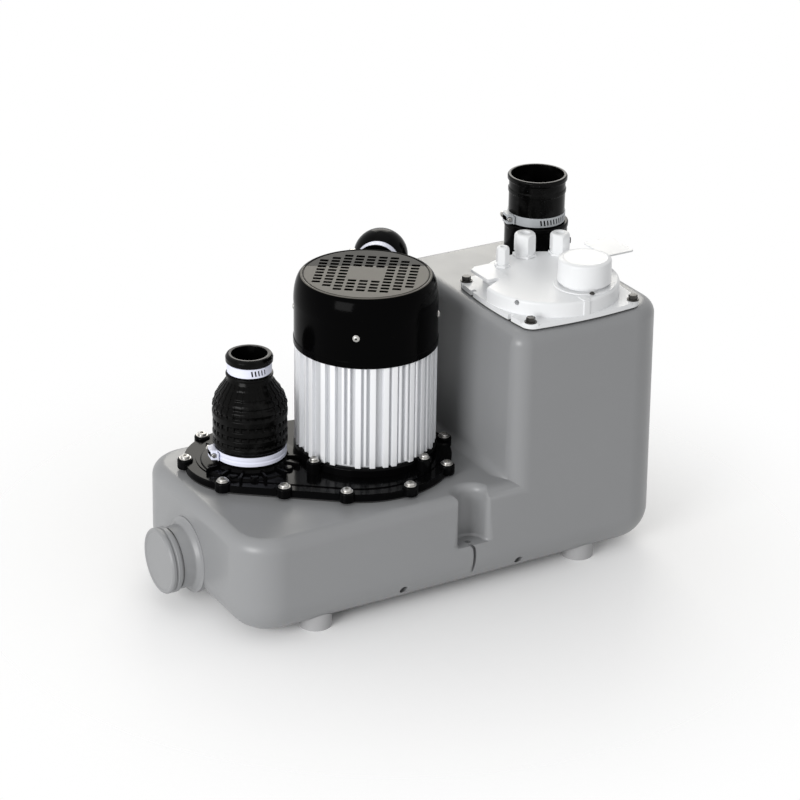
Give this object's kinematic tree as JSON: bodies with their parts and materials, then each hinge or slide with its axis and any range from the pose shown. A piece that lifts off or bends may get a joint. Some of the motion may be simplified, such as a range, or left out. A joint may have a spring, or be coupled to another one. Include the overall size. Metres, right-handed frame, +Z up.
{
  "type": "sewage pump",
  "caption": "Floor-standing sewage pump with a stepped tank, finned vertical motor, discharge boot with non-return flap, pipe inlets and a covered level switch.",
  "frame": {"origin": "on the floor, below the middle of the whole outline", "axes": "+X along the tank towards its tall end, +Y from the front face to the back, +Z up"},
  "size_m": [0.5824, 0.278, 0.403],
  "materials": {
    "tank_plastic": "satin",
    "foot_rubber": "matt",
    "seal_rubber": "matt",
    "black_plastic": "gloss",
    "screw_steel": "satin",
    "casing_plastic": "satin",
    "shaft_steel": "bright",
    "lamination_steel": "dull",
    "copper_wire": "lacquered",
    "cast_aluminium": "bright",
    "boot_rubber": "satin",
    "clamp_steel": "bright",
    "white_plastic": "satin",
    "dark_steel": "satin",
    "filter_carbon": "matt",
    "box_plastic": "satin",
    "board_resin": "satin",
    "diaphragm_rubber": "matt"
  },
  "bodies": {
    "station": {"tank": "tank_plastic", "feet": "foot_rubber", "side_inlet_cap": "tank_plastic", "side_cap_ring": "seal_rubber", "deck_gasket": "seal_rubber", "deck_plate": "black_plastic", "deck_screws": "screw_steel", "volute_casing": "casing_plastic", "suction_grille": "casing_plastic", "stator_core": "lamination_steel", "stator_windings": "copper_wire", "lower_bearing": "shaft_steel", "upper_bearing": "shaft_steel", "shaft_seal": "seal_rubber", "motor_flange": "black_plastic", "flange_screws": "screw_steel", "motor_housing": "cast_aluminium", "upper_end_shield": "cast_aluminium", "fan_cowl": "black_plastic", "cowl_screws": "screw_steel", "valve_seat": "casing_plastic", "discharge_boot": "boot_rubber", "lower_clamp": "clamp_steel", "upper_clamp": "clamp_steel", "inlet_clamp": "clamp_steel", "rear_riser": "black_plastic", "riser_seal": "seal_rubber", "inlet_collar": "black_plastic", "inlet_sleeve": "boot_rubber", "cover_gasket": "seal_rubber", "switch_cover": "white_plastic", "cover_screws": "dark_steel", "filter_cap": "white_plastic", "carbon_filter": "filter_carbon", "cap_screw": "dark_steel", "gland_bodies": "white_plastic", "gland_nuts": "white_plastic", "finger_tab": "white_plastic", "switch_box": "box_plastic", "capacitor": "cast_aluminium", "circuit_board": "board_resin", "dip_tube": "box_plastic", "diaphragm": "diaphragm_rubber", "plunger_guide": "casing_plastic", "microswitch": "black_plastic"},
    "rotor": {"rotor_shaft": "shaft_steel", "rotor_core": "lamination_steel", "impeller": "casing_plastic", "impeller_nut": "screw_steel", "cooling_fan": "casing_plastic"},
    "flap": {"check_flap": "boot_rubber"},
    "elbow": {"rear_elbow": "boot_rubber", "rear_clamp": "clamp_steel"},
    "lower_clamp_worm": {"lower_clamp_screw": "screw_steel"},
    "upper_clamp_worm": {"upper_clamp_screw": "screw_steel"},
    "inlet_clamp_worm": {"inlet_clamp_screw": "screw_steel"},
    "rear_clamp_worm": {"rear_clamp_screw": "screw_steel"},
    "plunger": {"switch_plunger": "white_plastic"},
    "lever": {"switch_lever": "shaft_steel"}
  },
  "joints": [
    {"name": "rotor_spin", "type": "hinge", "parent": "station", "child": "rotor", "pos_m": [-0.02825, 0.008, 0.2], "axis": [0, 0, 1], "continuous": true},
    {"name": "flap_swing", "type": "hinge", "parent": "station", "child": "flap", "pos_m": [-0.18925, 0.042, 0.1802], "axis": [0, -1, 0], "range_deg": [0, 62]},
    {"name": "elbow_swivel", "type": "hinge", "parent": "station", "child": "elbow", "pos_m": [0.04675, 0.107, 0.3], "axis": [0, 0, 1], "range_deg": [-142, 0]},
    {"name": "lower_clamp_turn", "type": "hinge", "parent": "station", "child": "lower_clamp_worm", "pos_m": [-0.20267, 0.04983, 0.1545], "axis": [0.1736, 0.9848, 0], "continuous": true},
    {"name": "upper_clamp_turn", "type": "hinge", "parent": "station", "child": "upper_clamp_worm", "pos_m": [-0.15825, 0.071, 0.2555], "axis": [1, 0, 0], "continuous": true},
    {"name": "inlet_clamp_turn", "type": "hinge", "parent": "station", "child": "inlet_clamp_worm", "pos_m": [0.20432, 0.08426, 0.3528], "axis": [0.1392, 0.9903, 0], "continuous": true},
    {"name": "rear_clamp_turn", "type": "hinge", "parent": "elbow", "child": "rear_clamp_worm", "pos_m": [0.00803, 0.10444, 0.327], "axis": [0, 0, 1], "continuous": true},
    {"name": "plunger_slide", "type": "slide", "parent": "station", "child": "plunger", "axis": [0, 0, 1], "range_m": [0, 0.003], "stiffness_N_per_m": 40, "springref_m": -0.0005},
    {"name": "lever_lift", "type": "hinge", "parent": "station", "child": "lever", "pos_m": [0.18075, -0.043, 0.2744], "axis": [0, 1, 0], "range_deg": [0, 8.2]}
  ],
  "couplings": [
    {"joint": "lever_lift", "follows": "plunger_slide", "rad_per_m": 46.542}
  ]
}
